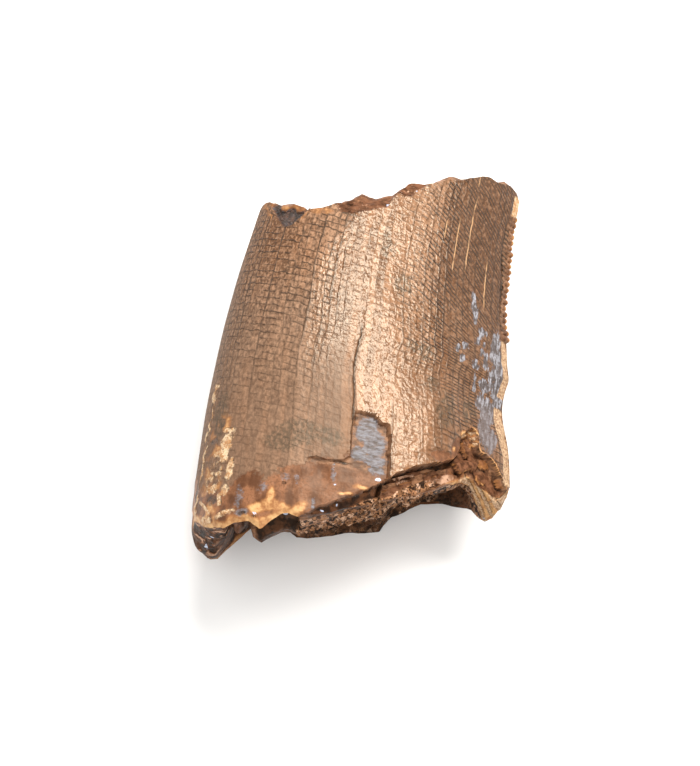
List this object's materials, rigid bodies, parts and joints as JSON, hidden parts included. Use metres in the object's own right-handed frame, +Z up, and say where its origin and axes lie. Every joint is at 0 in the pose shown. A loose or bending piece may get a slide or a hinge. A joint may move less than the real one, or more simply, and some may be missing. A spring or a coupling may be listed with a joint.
{
  "type": "fossil tyrannosaur tooth fragment",
  "caption": "Broken mid-crown piece of a fossil dinosaur tooth: curved, teardrop in section, with a serrated edge, crazed brown enamel and an open pulp cavity.",
  "frame": {"origin": "centre of the bounding box, on the surface the fragment lies on", "axes": "+X towards the serrated edge, +Y towards the missing tip, +Z up, away from the surface the tongue side rests on"},
  "size_m": [0.0206, 0.0286, 0.0115],
  "materials": {
    "fossil": "semi-gloss, crazed"
  },
  "bodies": {
    "root": {"tooth_fragment": "fossil"}
  },
  "joints": []
}
